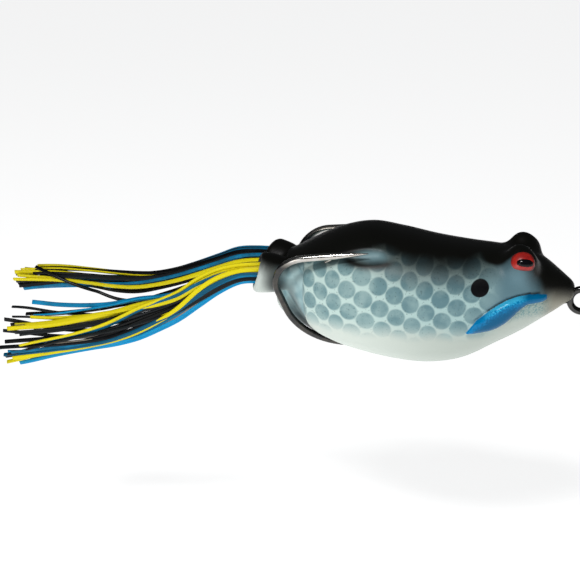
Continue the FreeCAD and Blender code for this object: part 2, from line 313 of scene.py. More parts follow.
def surface_net(field, low, step):
    """Points and quads of the surface where a sampled field changes sign, one point per crossed cell."""
    inside = field < 0
    total, count = crossing_middles(field, inside)
    used = count > 0
    number = np.full(count.shape, -1)
    number[used] = np.arange(used.sum())
    points = total[used] / count[used][:, None] * step + np.asarray(low)
    return points, net_faces(inside, number)


def settle_on_surface(points, field):
    """Newton steps that bring points onto a field's zero surface."""
    for _ in range(3):
        value, slope = field_slope(points, field)
        points = points - slope * (value / np.maximum((slope ** 2).sum(1), 0.05))[:, None]
    return points


def field_slope(points, field):
    reach = 0.03
    value = field(*points.T)
    slope = np.empty_like(points)
    for axis in range(3):
        nudge = np.zeros(3)
        nudge[axis] = reach
        slope[:, axis] = (field(*(points + nudge).T) - field(*(points - nudge).T)) / (2 * reach)
    return value, slope


def even_out(points, faces, field, rounds):
    """Slides points along the surface towards the middle of their neighbours."""
    edges = np.concatenate([faces[:, [i, (i + 1) % 4]] for i in range(4)])
    degree = np.bincount(edges[:, 0], minlength=len(points))
    for _ in range(rounds):
        middle = np.stack([np.bincount(edges[:, 0], points[edges[:, 1], axis], len(points))
                           for axis in range(3)], 1) / degree[:, None]
        points = settle_on_surface(points + (middle - points) * 0.6, field)
    return points


# ---- body shape
def loft_distance(x, y, z):
    """About the distance to the body's plain form, whose sections are rounded boxes."""
    half, top, bottom, widest = curve_table(x, BODY_STATIONS)
    height = np.where(z > widest, top - widest, widest - bottom)
    u, v = y / half, np.abs(z - widest) / height
    power = SECTION_POWER
    q = (u ** power + v ** power + 1e-6) ** (1 / power)
    slope = np.hypot(u ** (power - 1) / half, v ** (power - 1) / height) / q ** (power - 1)
    return (q - 1) / np.maximum(slope, 0.05)


def tube_place(x, y, z, sag=0.0):
    """Depth inside a leg tube's mouth and distance from its axis, which may lie lower by sag."""
    inward = unit(TUBE_ROOT - TUBE_MOUTH)
    dx, dy, dz = x - TUBE_MOUTH[0], y - TUBE_MOUTH[1], z - TUBE_MOUTH[2] + sag
    depth = dx * inward[0] + dy * inward[1] + dz * inward[2]
    off_axis = np.sqrt(np.maximum(dx * dx + dy * dy + dz * dz - depth * depth, 0))
    return depth, off_axis


def tube_distance(x, y, z):
    """Distance to the outside of a leg tube, taken as solid."""
    depth, off_axis = tube_place(x, y, z, TUBE_SAG)
    outer = off_axis - curve_table(depth, TUBE_R)[0] + RIM_ROUND
    rim = MOUTH_SLANT[0] + MOUTH_SLANT[1] * (z - TUBE_MOUTH[2])
    end = RIM_ROUND + rim - depth
    corner = np.hypot(np.maximum(outer, 0), np.maximum(end, 0))
    return corner + np.minimum(np.maximum(outer, end), 0) - RIM_ROUND


def rod_distance(x, y, z, start, end, radius):
    """Distance to a round bar with ball ends."""
    run = end - start
    dx, dy, dz = x - start[0], y - start[1], z - start[2]
    t = np.clip((dx * run[0] + dy * run[1] + dz * run[2]) / (run @ run), 0, 1)
    return np.sqrt((dx - t * run[0]) ** 2 + (dy - t * run[1]) ** 2 + (dz - t * run[2]) ** 2) - radius


def leaning_up(side):
    """The direction in which a hook stands up from its shank."""
    return ABOVE_SHANK * math.cos(TILT) + SIDEWAYS * (side * math.sin(TILT))


def hook_point(s, h, side):
    """A point s along the shank and h up the hook's own leaning plane."""
    return ALONG_SHANK * s + SIDEWAYS * (side * SHANK_HALF_GAP) + leaning_up(side) * h


def lip_relief(x, y, z):
    """How far the lip stripe stands out of the cheek, less the crease above it."""
    stripe = outline_distance(x, z, LIP_UPPER + LIP_LOWER)
    roll = np.clip(-stripe / LIP_ROLL, 0, 1)
    ridge = LIP_HEIGHT * np.sqrt(1 - (1 - roll) ** 2)
    upper = open_line_distance(x, z, LIP_UPPER[1:-2])
    crease = CREASE_DEPTH * np.exp(-(upper / CREASE_WIDTH) ** 2)
    return (ridge - crease) * eased(y, 2.5, 4.0)


def body_distance(x, y, z):
    """About the distance to the outside of the whole body; the two sides are alike."""
    y = np.abs(y)
    return with_openings(solid_distance(x, y, z), x, y, z)


def solid_distance(x, y, z):
    """The left half of the body before anything is cut from it."""
    plain = loft_distance(x, y, z) - lip_relief(x, y, z)
    edge = FLANK_END_X - 8 * eased(z, 4.5, 8.0)
    flank = kept(plain, edge - x, 0.9)
    rump = kept(plain + FLANK_STEP, RUMP_END_X - x, 2.0)
    shape = joined(flank, rump, 0.3)
    shape = kept(shape, x - NOSE_X, 1.2)
    bump = ball_distance(x, y, z, EYE_BUMP, EYE_BUMP_R)
    brow = ball_distance(x, y, z, BROW, BROW_R)
    shape = joined(shape, joined(bump, brow, 1.0), 2.3)
    keel = rod_distance(x, y, z, KEEL[0], KEEL[1], KEEL_R)
    shape = joined(shape, keel, 1.0)
    return joined(shape, tube_distance(x, y, z), 1.0)


def with_openings(shape, x, y, z):
    """Cuts the bore, its socket, the belly channel, the hook rest and the way for the ring."""
    depth, off_axis = tube_place(x, y, z)
    bore = np.maximum(off_axis - BORE_R, depth - BORE_DEPTH)
    socket = np.maximum(off_axis - SOCKET_R, depth - SOCKET_DEPTH)
    shape = cut(shape, np.minimum(bore, socket), 0.35)
    channel = rod_distance(x, y, z, ALONG_SHANK * CHANNEL_S[0], ALONG_SHANK * CHANNEL_S[1], CHANNEL_R)
    shape = cut(shape, channel, 0.8)
    tip, back = needle_way(1)
    rest = rod_distance(x, y, z, tip - back * 1.6, tip + back * 5.0, REST_R)
    shape = cut(shape, rest, 0.6)
    ring = np.hypot(np.hypot(x, z) - RING_R, y) - WIRE_R - 0.12
    return cut(shape, ring, 0.25)


def body_mesh():
    axes = [np.arange(low, high, GRID_STEP) for low, high in zip(GRID_LOW, GRID_HIGH)]
    half = body_distance(axes[0][:, None, None], axes[1][None, :, None], axes[2][None, None, :])
    origin = np.array([GRID_LOW[0], -axes[1][-1], GRID_LOW[2]])
    points, faces = surface_net(mirror_grid(half), origin, GRID_STEP)
    points = settle_on_surface(points, body_distance)
    points = even_out(points, faces, body_distance, 3)
    return points, faces


def mirror_grid(half):
    """Both sides of a field sampled on one side from one and a half steps past the middle plane.

    The two sides share one sample, so +Y starts a step too far in until its points are settled.
    """
    return np.concatenate([half[:, :2:-1], half[:, 2:]], axis=1)


# ---- node materials
class Paint:
    """A Principled material whose colours are built up by nodes."""

    def __init__(self, name, metallic=0.0):
        self.material = bpy.data.materials.new(name)
        self.material.use_nodes = True
        self.tree = self.material.node_tree
        self.shader = self.tree.nodes["Principled BSDF"]
        self.shader.inputs["Metallic"].default_value = metallic

    def node(self, kind):
        return self.tree.nodes.new("ShaderNode" + kind)

    def put(self, socket, value):
        if isinstance(value, bpy.types.NodeSocket):
            self.tree.links.new(value, socket)
        elif isinstance(value, tuple) and len(value) == 3 and socket.type == "RGBA":
            socket.default_value = value + (1.0,)
        else:
            socket.default_value = value

    def math(self, operation, *values):
        node = self.node("Math")
        node.operation = operation
        for socket, value in zip(node.inputs, values):
            self.put(socket, value)
        return node.outputs[0]

    def add(self, first, second):
        return self.math("ADD", first, second)

    def less(self, first, second):
        return self.math("SUBTRACT", first, second)

    def times(self, first, second):
        return self.math("MULTIPLY", first, second)

    def ramp(self, value, start, end, low=0.0, high=1.0):
        """low before start and high after end, eased between."""
        node = self.node("MapRange")
        node.interpolation_type = "SMOOTHSTEP"
        for name, given in zip(("Value", "From Min", "From Max", "To Min", "To Max"),
                               (value, start, end, low, high)):
            self.put(node.inputs[name], given)
        return node.outputs["Result"]

    def mix(self, share, first, second):
        node = self.node("Mix")
        node.data_type = "RGBA"
        self.put(node.inputs[0], share)
        self.put(node.inputs[6], first)
        self.put(node.inputs[7], second)
        return node.outputs[2]

    def rest(self):
        node = self.node("Attribute")
        node.attribute_name = "rest"
        return node.outputs["Vector"]

    def field(self, name):
        node = self.node("Attribute")
        node.attribute_name = name
        return node.outputs["Fac"]

    def parts(self, vector):
        node = self.node("SeparateXYZ")
        self.put(node.inputs[0], vector)
        return node.outputs

    def noise(self, where, scale, detail):
        node = self.node("TexNoise")
        self.put(node.inputs["Vector"], where)
        node.inputs["Scale"].default_value = scale
        node.inputs["Detail"].default_value = detail
        return node.outputs["Fac"]

    def bump(self, height, distance, strength):
        """distance is in metres, for a height of 0 to 1."""
        node = self.node("Bump")
        node.inputs["Distance"].default_value = distance
        node.inputs["Strength"].default_value = strength
        self.put(node.inputs["Height"], height)
        self.put(self.shader.inputs["Normal"], node.outputs[0])

    def finish(self, colour, roughness):
        self.put(self.shader.inputs["Base Color"], colour)
        self.put(self.shader.inputs["Roughness"], roughness)
        return self.material


NET_REAR, NET_FRONT = (0.54, 0.70, 0.66), (0.40, 0.57, 0.56)
DOT_REAR, DOT_FRONT = (0.17, 0.30, 0.32), (0.12, 0.23, 0.26)
BELLY_REAR, BELLY_FRONT = (0.66, 0.73, 0.67), (0.49, 0.55, 0.50)
RUMP, RUMP_SHADE = (0.44, 0.62, 0.63), (0.28, 0.45, 0.48)
TUBE_PALE = (0.56, 0.62, 0.58)
CHEEK = (0.12, 0.22, 0.26)
JAW, JAW_SPECK = (0.36, 0.45, 0.41), (0.10, 0.25, 0.28)
SNOUT = (0.33, 0.32, 0.26)
BACK = (0.004, 0.004, 0.003)
PATCH = (0.19, 0.31, 0.34)
FLANK_SPECK, WIRE_SHADE = (0.08, 0.14, 0.15), (0.02, 0.025, 0.027)
# Painted shade: the second colour here darkens the crease along the lip's upper edge.
# Painted shadow: the first colour here is a dark line under the pale patch round the hook's point.
CRESCENT_SHADE, CREASE_SHADE = (0.016, 0.017, 0.015), (0.01, 0.018, 0.022)
SPOT_BLACK = (0.001, 0.001, 0.002)
# The last of the lip colours is a painted highlight along the top of the lip's roll.
LIP, LIP_DARK, LIP_CREST_HIGHLIGHT = (0.0, 0.20, 0.46), (0.0, 0.105, 0.24), (0.05, 0.50, 0.80)


def scale_net(paint, x_even, z):
    """Distance in millimetres to the nearest scale's middle, on the evened-out flank."""
    (ax, az), (ux, uz) = SCALE_ACROSS, SCALE_UP
    size = ax * uz - az * ux
    across = paint.add(paint.times(x_even, uz / size), paint.times(z, -ux / size))
    up = paint.add(paint.times(x_even, -az / size), paint.times(z, ax / size))
    distances = []
    for offset in (0.5, 0.0):
        a = paint.less(paint.math("FRACT", paint.add(across, offset + 100)), 0.5)
        b = paint.less(paint.math("FRACT", paint.add(up, offset + 100)), 0.5)
        dx = paint.add(paint.times(a, ax), paint.times(b, ux))
        dz = paint.add(paint.times(a, az), paint.times(b, uz))
        square = paint.add(paint.times(dx, dx), paint.times(dz, dz))
        distances.append(paint.math("SQRT", square))
    return paint.math("MINIMUM", *distances)


def skin_colour(paint, rest, cloud, z_soft):
    """The patterned flank, pale belly, rump and tubes, without the dark back."""
    x = paint.parts(rest)[0]
    forwards = paint.ramp(x, -46.0, -22.0)
    net = paint.mix(forwards, NET_REAR, NET_FRONT)
    belly = paint.mix(forwards, BELLY_REAR, BELLY_FRONT)
    skin = paint.mix(paint.ramp(z_soft, -1.8, -7.0), net, belly)
    scale = scale_net(paint, paint.field("even_x"), paint.field("even_z"))
    dot = paint.ramp(scale, SCALE_DOT_R + 0.22, SCALE_DOT_R - 0.22)
    low_fade = paint.ramp(z_soft, -7.4, -2.0)
    front_fade = paint.ramp(x, -13.5, -20.5)
    flank = paint.ramp(x, FLANK_END_X - 0.15, FLANK_END_X + 0.05)
    dot = paint.times(dot, paint.times(low_fade, front_fade))
    dot_colour = paint.mix(forwards, DOT_REAR, DOT_FRONT)
    dot_colour = paint.mix(paint.ramp(cloud, 0.35, 0.7, 0.0, 0.35), dot_colour, net)
    skin = paint.mix(dot, skin, dot_colour)
    speck = paint.ramp(paint.noise(rest, 2.9, 0.0), 0.70, 0.76, 0.0, 0.45)
    skin = paint.mix(paint.times(speck, low_fade), skin, FLANK_SPECK)
    rump = paint.mix(paint.ramp(paint.noise(rest, 0.4, 1.0), 0.36, 0.66), RUMP, RUMP_SHADE)
    rump = paint.mix(paint.ramp(x, -58.5, -60.5), rump, TUBE_PALE)
    return paint.mix(flank, rump, skin)


def face_colour(paint, rest, skin):
    """The cheek, jaw and snout laid over the front of the flank."""
    x = paint.parts(rest)[0]
    over_lip = paint.field("over_lip")
    speckle = paint.ramp(paint.noise(rest, 3.2, 2.0), 0.42, 0.66, 0.0, 0.8)
    jaw = paint.mix(speckle, JAW, JAW_SPECK)
    jaw = paint.mix(paint.ramp(over_lip, -3.4, -5.6), jaw, BELLY_FRONT)
    cheek = paint.mix(paint.ramp(over_lip, -0.6, 0.4), jaw, CHEEK)
    cheek = paint.mix(paint.ramp(x, -8.5, -5.0), cheek, SNOUT)
    return paint.mix(paint.ramp(x, -20.0, -14.0), skin, cheek)


def lip_colour(paint, rest):
    """Painted highlight: bright along the top of the lip's roll at mid length; darker and mottled below it
    and at the front.
    """
    x = paint.parts(rest)[0]
    mottle = paint.times(paint.less(paint.noise(rest, 2.6, 3.0), 0.5), 3.0)
    depth = paint.add(paint.field("over_lip"), mottle)
    colour = paint.mix(paint.ramp(depth, -0.9, -2.6), LIP, LIP_DARK)
    colour = paint.mix(paint.ramp(x, -12.0, -9.5, 0.0, 0.7), colour, LIP_DARK)
    crest_highlight = paint.ramp(depth, -1.3, -0.5)
    length = paint.times(paint.ramp(x, -18.5, -16.0), paint.ramp(x, -9.8, -12.0))
    return paint.mix(paint.times(crest_highlight, length), colour, LIP_CREST_HIGHLIGHT)


def body_material():
    paint = Paint("frog_skin")
    paint.shader.inputs["Specular IOR Level"].default_value = 0.18
    rest = paint.rest()
    cloud = paint.noise(rest, 0.35, 3.0)
    fine = paint.noise(rest, 5.0, 2.0)
    sway = paint.times(paint.less(cloud, 0.5), 2.0)
    z_soft = paint.add(paint.parts(rest)[2], sway)
    skin = skin_colour(paint, rest, cloud, z_soft)
    skin = face_colour(paint, rest, skin)
    skin = paint.mix(paint.ramp(paint.field("wire_gap"), 3.2, 0.4, 0.0, 0.9), skin, WIRE_SHADE)

    haze = paint.add(paint.field("back"), paint.times(sway, 0.8))
    haze = paint.add(haze, paint.times(paint.less(fine, 0.5), 0.6))
    skin = paint.mix(paint.ramp(haze, -5.0, 2.8), skin, BACK)
    skin = paint.mix(paint.ramp(paint.field("patch"), 0.7, -0.9), skin, PATCH)
    # Painted shadow: a dark line under the pale patch round the hook's point.
    skin = paint.mix(paint.field("crescent_shade"), skin, CRESCENT_SHADE)
    skin = paint.mix(paint.ramp(paint.field("spot"), 0.1, -0.1), skin, SPOT_BLACK)
    # Painted shade in the crease along the lip's upper edge.
    skin = paint.mix(paint.field("crease"), skin, CREASE_SHADE)
    lip = paint.ramp(paint.field("lip"), 0.08, -0.12)
    skin = paint.mix(lip, skin, lip_colour(paint, rest))
    shine = paint.times(lip, 0.22)
    roughness = paint.less(paint.ramp(fine, 0.3, 0.7, 0.36, 0.44), shine)
    paint.bump(paint.noise(rest, 2.2, 4.0), 0.00006, 0.5)
    return paint.finish(skin, roughness)


def wire_gap(points):
    """Distance from each point to the surface of the nearer hook's bend."""
    x, y, z = points[:, 0], np.abs(points[:, 1]), points[:, 2]
    bend = hook_path([hook_point(40.0, 0, 1)], [], 1)
    nearest = np.full(len(points), np.inf)
    for start, end in zip(bend, bend[1:]):
        nearest = np.minimum(nearest, rod_distance(x, y, z, start, end, WIRE_R))
    return nearest


def body_fields(points):
    """What the skin's colours need at each point of the body."""
    x, y, z = points[:, 0], np.abs(points[:, 1]), points[:, 2]
    columns = np.array(SCALE_COLUMNS)
    steps = (np.arange(len(columns)) - SCALE_ZERO_COLUMN) * SCALE_ACROSS[0] / 2
    even_x = np.interp(x, columns, steps)
    even_x = np.where(x > columns[-1], steps[-1] + (x - columns[-1]), even_x)
    even_x = np.where(x < columns[0], steps[0] + (x - columns[0]) * 1.3, even_x)
    edge, sharp, upper = np.array(BACK_EDGE), np.array(BACK_SHARP), np.array(LIP_UPPER)
    inner_side = 6 * eased(y, 8.0, 6.0) * eased(x, -20, -16) * eased(z, 6, 8)
    inner_side = inner_side + 4 * eased(y, 7.0, 4.5) * eased(x, -57, -60)
    over_edge = z - np.interp(x, edge[:, 0], edge[:, 1])
    crease_line = open_line_distance(x, z, LIP_UPPER[2:-1])
    over_lip = z - np.interp(x, upper[:, 0], upper[:, 1])
    crease = np.exp(-(crease_line / 0.35) ** 2) * (over_lip > -0.15) * (y > FACE_Y)
    long, high = PATCH_SIZE
    patch = (np.hypot((x - PATCH_PLACE[0]) / long, (z - PATCH_PLACE[1]) / high) - 1) * high
    along = x - CRESCENT_PLACE[0]
    crescent_shade = np.exp(-((z - CRESCENT_PLACE[1] - 0.03 * along ** 2) / 0.7) ** 2)
    crescent_shade = crescent_shade * eased(np.abs(along), 5.8, 3.6)
    return {
        "even_x": even_x,
        "even_z": z - SCALE_ZERO_Z - 0.5 * eased(x, -49, -52),
        "back": over_edge * np.interp(x, sharp[:, 0], sharp[:, 1]) + inner_side,
        "over_lip": over_lip,
        "lip": np.where(y > FACE_Y, outline_distance(x, z, LIP_UPPER + LIP_LOWER), 5.0),
        "crease": crease,
        "patch": np.where(y > 6, patch, 5.0),
        "crescent_shade": crescent_shade * (y > 6),
        "spot": np.where(y > FACE_Y, np.hypot(x - SPOT[0], z - SPOT[1]) - SPOT_R, 5.0),
        "wire_gap": wire_gap(points),
    }


def make_body():
    points, faces = body_mesh()
    body = make_mesh("frog_body", body_material(), points, faces.tolist(), body_fields(points))
    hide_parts("body_shell")
    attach(body, "lure")
    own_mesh(body)


# ---- swept pieces
def rounded_path(corners, radii):
    """Points along straight runs joined by arcs; one radius for each inner corner."""
    path = [corners[0]]
    for before, corner, after, radius in zip(corners, corners[1:], corners[2:], radii):
        back, ahead = unit(before - corner), unit(after - corner)
        turn = math.pi - math.acos(back @ ahead)
        centre = corner + unit(back + ahead) * radius / math.cos(turn / 2)
        start = corner + back * radius * math.tan(turn / 2) - centre
        end = corner + ahead * radius * math.tan(turn / 2) - centre
        for i in range(ARC_STEPS + 1):
            t = i / ARC_STEPS
            spoke = (start * math.sin((1 - t) * turn) + end * math.sin(t * turn)) / math.sin(turn)
            path.append(centre + spoke)
    path.append(corners[-1])
    return np.array(path)


def carried_frames(path, up):
    """Two directions square to the path at each of its points, turning as little as they can."""
    tangents = np.gradient(path, axis=0)
    tangents /= np.linalg.norm(tangents, axis=1)[:, None]
    normals = []
    normal = np.asarray(up, float)
    for tangent in tangents:
        normal = unit(normal - tangent * (normal @ tangent))
        normals.append(normal)
    normals = np.array(normals)
    return normals, np.cross(tangents, normals)


def band_faces(count, size, closed):
    """Quads between rings of points, and from the last ring to the first where closed."""
    faces = []
    for i in range(count if closed else count - 1):
        m = (i + 1) % count
        for j in range(size):
            k = (j + 1) % size
            faces.append([i * size + j, i * size + k, m * size + k, m * size + j])
    return faces


def round_angles(size):
    return np.arange(size) * 2 * math.pi / size


def sweep(path, sections, up):
    """Points and faces of a bar along a path, with the outline at each of its places in sections."""
    normals, sides = carried_frames(path, up)
    rings = path[:, None] + sections[..., :1] * normals[:, None] + sections[..., 1:] * sides[:, None]
    count, size = rings.shape[:2]
    faces = band_faces(count, size, False)
    faces.append(list(range(size))[::-1])
    faces.append([(count - 1) * size + j for j in range(size)])
    return rings.reshape(-1, 3), faces


def circle_section(radii):
    turn = round_angles(WIRE_SIDES)
    circle = np.stack([np.cos(turn), np.sin(turn)], 1)
    return np.asarray(radii)[:, None, None] * circle


def merged(parts):
    """Several sets of points and faces as one."""
    points, faces = [], []
    offset = 0
    for part_points, part_faces in parts:
        points.append(part_points)
        faces += [[i + offset for i in face] for face in part_faces]
        offset += len(part_points)
    return np.concatenate(points), faces


def needle_way(side):
    """A hook's tip and the direction from there back along its needle."""
    tip = hook_point(TIP_S, TIP_H, side)
    return tip, unit(hook_point(HEEL_S, SHOULDER_H, side) - tip)


def hook_path(starts, start_radii, side):
    """The wire's middle line from its shank round the bend to the needle's root."""
    tip, back = needle_way(side)
    corners = starts + [hook_point(HEEL_S, 0, side), hook_point(HEEL_S, SHOULDER_H, side),
                        tip + back * (NEEDLE_LENGTH + 0.5)]
    return rounded_path(corners, start_radii + [BEND_R, SHOULDER_R])


def hook_bar(starts, start_radii, side):
    tip, back = needle_way(side)
    path = list(hook_path(starts, start_radii, side))
    radii = [WIRE_R] * len(path)
    for i in range(NEEDLE_STEPS + 1):
        left = 1 - i / NEEDLE_STEPS
        path.append(tip + back * NEEDLE_LENGTH * left)
        radii.append(max(WIRE_R * math.sin(math.pi / 2 * min(left * 1.08, 1)) ** 0.85, NEEDLE_TIP_R))
    bar = sweep(np.array(path), circle_section(radii), up=ABOVE_SHANK + SIDEWAYS * 0.3)
    return [bar, barb(tip, back, side)]


def barb(tip, back, side):
    """The small blade cut up from the inside of the needle."""
    rise = leaning_up(side)
    inward = unit(np.cross(back, np.cross(back, rise)))
    base = tip + back * (BARB_FROM_TIP - BARB_ROOT)
    length = BARB_LENGTH + BARB_ROOT
    t = np.linspace(0, 1, 8)
    lift = 0.25 + t ** 1.3 * (WIRE_R + BARB_HEIGHT - 0.35)
    path = base + np.outer(t * length, back) + np.outer(lift, inward)
    turn = round_angles(FLAT_SIDES)
    outline = np.stack([0.16 * np.sin(turn), 0.3 * np.cos(turn)], 1)
    size = 0.35 + 0.65 * np.sin(math.pi * np.clip(1 - t * 0.82, 0, 1))
    return sweep(path, size[:, None, None] * outline, up=inward)


def round_ring(centre, axis, big, small, flatten=1.0):
    """A ring of round section about an axis, flattened a little along it."""
    turns, size = 64, 20
    axis = unit(axis)
    across = unit(np.cross(axis, (0, 0, 1)))
    up = np.cross(across, axis)
    points = []
    for i in range(turns):
        a = 2 * math.pi * i / turns
        out = across * math.cos(a) + up * math.sin(a)
        for j in range(size):
            b = 2 * math.pi * j / size
            points.append(centre + out * (big + small * math.cos(b)) + axis * (small * flatten * math.sin(b)))
    return np.array(points), band_faces(turns, size, True)


def hook_material():
    paint = Paint("black_nickel", metallic=1.0)
    rest = paint.rest()
    stain = paint.noise(rest, 0.5, 4.0)
    # Painted light: the wire's colour is dark below about 6 mm and bright above 8.5 mm, so the bend and shank
    # look shaded and the shoulder and needle look brightly lit.
    dark = paint.mix(paint.ramp(stain, 0.35, 0.7), (0.055, 0.056, 0.057), (0.085, 0.080, 0.072))
    bright = paint.mix(paint.ramp(stain, 0.35, 0.7), (0.56, 0.545, 0.52), (0.46, 0.42, 0.36))
    height = paint.parts(rest)[2]
    colour = paint.mix(paint.ramp(height, 6.2, 8.5), dark, bright)
    grain = paint.noise(rest, 7.0, 3.0)
    paint.bump(grain, 0.00002, 0.35)
    return paint.finish(colour, paint.ramp(grain, 0.3, 0.75, 0.10, 0.24))


def make_hooks():
    material = hook_material()
    gap = SIDEWAYS * -SHANK_HALF_GAP
    line_ring = round_ring(np.zeros(3), SIDEWAYS, RING_R, WIRE_R, 0.97)      # hammered a little flat
    right_starts = [np.array(NECK[0]), np.array(NECK[1]), ALONG_SHANK * JOG_S[0],
                    ALONG_SHANK * JOG_S[1] + gap]
    left_starts = [ALONG_SHANK * JOG_S[1] - gap]
    hooks = {
        "right": hook_bar(right_starts, [NECK_R, JOG_R, JOG_R], -1) + [line_ring],
        "left": hook_bar(left_starts, [], 1),
    }
    for name, parts in hooks.items():
        piece = make_mesh("hook_wire_" + name, material, *merged(parts))
        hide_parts("hook_" + name)
        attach(piece, "lure")


# ---- eyes
def eye_axes(side):
    """The eye's outward, forward and downward directions."""
    out = unit(mirrored(EYE_AXIS, side))
    forward = unit(np.array([1.0, 0, 0]) - out * out[0])
    down = np.cross(out, forward)
    return out, forward, down * (-1 if down[2] > 0 else 1)


def eye_outline(angle):
    """A round eye whose lower edge is flattened, as distances forward and down."""
    a, b = EYE_R * math.cos(angle), EYE_R * math.sin(angle)
    if b > 0:
        b = EYE_FLAT * (1 - (1 - b / EYE_R) ** 1.6)
        a *= 1.02
    return a, b


def pupil_outline(angle):
    length, height = PUPIL_SIZE
    power = 0.85
    c, s = math.cos(angle), math.sin(angle)
    a = length / 2 * math.copysign(abs(c) ** power, c)
    b = height / 2 * math.copysign(abs(s) ** power, s)
    return a + PUPIL_SHIFT[0], b + PUPIL_SHIFT[1]


def dome(side, outline, proud, depth, crown):
    """A lens on the eye bump: crowned face, rounded edge and a wall that goes into the bump."""
    size, rings = DOME_SIDES, DOME_RINGS
    out, forward, down = eye_axes(side)
    centre = mirrored(EYE_BUMP, side)
    middle = np.mean([outline(2 * math.pi * j / size) for j in range(size)], axis=0)
    points, faces, rim = [], [], []

    def place(a, b, height, share):
        ball = math.sqrt(max(EYE_BUMP_R ** 2 - a * a - b * b, 0.2))
        points.append(centre + forward * a + down * b + out * (ball + height))
        rim.append(share)

    place(middle[0], middle[1], proud + crown, 0)
    for i in range(1, rings + 1):
        t = i / rings
        height = proud * math.sqrt(max(1 - t ** 6, 0)) + crown * (1 - t * t)
        for j in range(size):
            a, b = outline(2 * math.pi * j / size)
            place(middle[0] + (a - middle[0]) * t, middle[1] + (b - middle[1]) * t, height, t)
    for j in range(size):
        a, b = outline(2 * math.pi * j / size)
        place(a, b, -depth, 1)
    for j in range(size):
        k = (j + 1) % size
        faces.append([0, 1 + j, 1 + k])
        for i in range(rings):
            first, second = 1 + i * size, 1 + (i + 1) * size
            faces.append([first + j, second + j, second + k, first + k])
    faces.append([1 + rings * size + j for j in range(size)])
    if side > 0:
        faces = [face[::-1] for face in faces]
    return np.array(points), faces, {"rim": rim}


def eye_material():
    paint = Paint("eye_enamel")
    rest = paint.rest()
    cloud = paint.noise(rest, 1.4, 3.0)
    colour = paint.mix(paint.ramp(cloud, 0.35, 0.7), (0.46, 0.020, 0.012), (0.32, 0.010, 0.010))
    colour = paint.mix(paint.ramp(paint.field("rim"), 0.78, 1.0, 0.0, 0.8), colour, (0.06, 0.006, 0.006))
    paint.bump(paint.noise(rest, 4.0, 2.0), 0.00003, 0.4)
    return paint.finish(colour, paint.ramp(cloud, 0.3, 0.7, 0.25, 0.36))


def pupil_material():
    paint = Paint("pupil_enamel")
    paint.shader.inputs["Specular IOR Level"].default_value = 0.2
    rest = paint.rest()
    cloud = paint.noise(rest, 3.0, 2.0)
    colour = paint.mix(cloud, (0.002, 0.002, 0.003), (0.006, 0.005, 0.007))
    paint.bump(cloud, 0.00002, 0.3)
    return paint.finish(colour, paint.ramp(cloud, 0.3, 0.7, 0.10, 0.18))


def make_eyes():
    eye_paint, pupil_paint = eye_material(), pupil_material()
    for name, side in SIDES.items():
        eye = make_mesh("eye_lens_" + name, eye_paint, *dome(side, eye_outline, EYE_PROUD, 1.0, 0.08))
        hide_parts("eye_" + name)
        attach(eye, "eyes")
        shape = dome(side, pupil_outline, EYE_PROUD + 0.16, 0.4, 0.12)
        pupil = make_mesh("pupil_lens_" + name, pupil_paint, *shape)
        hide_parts("pupil_" + name)
        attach(pupil, "eyes")


# ---- skirts
# Middle of each skirt: x, distance from the middle plane, height, half height, half width
SKIRT_FLOW = {
    "right": (
        (-124.0, 8.8, -13.6, 6.6, 3.4), (-114.0, 8.5, -12.2, 6.2, 3.2), (-106.5, 8.2, -11.3, 5.2, 3.0),
        (-99.0, 7.9, -10.1, 4.7, 2.8), (-93.2, 7.6, -9.0, 4.5, 2.6), (-88.8, 7.4, -7.8, 4.2, 2.5),
        (-84.4, 7.2, -6.3, 3.5, 2.3), (-80.0, 7.0, -4.2, 3.1, 2.1), (-75.7, 6.7, -1.1, 3.0, 2.0),
        (-71.4, 6.5, 1.5, 2.5, 1.9), (-67.2, 6.2, 3.1, 2.0, 1.8), (-62.7, 5.6, 3.5, 2.1, 1.9),
    ),
    "left": (
        (-125.0, 8.6, -6.0, 2.5, 2.5), (-112.0, 8.2, -4.9, 2.4, 2.4), (-105.0, 8.0, -4.8, 2.2, 2.3),
        (-99.0, 7.8, -4.9, 2.3, 2.2), (-93.6, 7.5, -4.5, 2.2, 2.1), (-89.0, 7.3, -3.6, 1.9, 2.0),
        (-84.4, 7.1, -2.3, 1.8, 2.0), (-79.9, 6.9, -0.7, 1.8, 2.0), (-75.4, 6.7, 1.0, 1.9, 1.9),
        (-71.0, 6.5, 2.6, 2.1, 1.9), (-66.6, 6.2, 3.3, 2.0, 1.8), (-62.7, 5.6, 3.5, 2.1, 1.9),
    ),
}
STRAND_KNOTS = (-97.0, -84.0, -73.0)      # x of a skirt's far part, middle and neck
STRAND_STEPS = 72

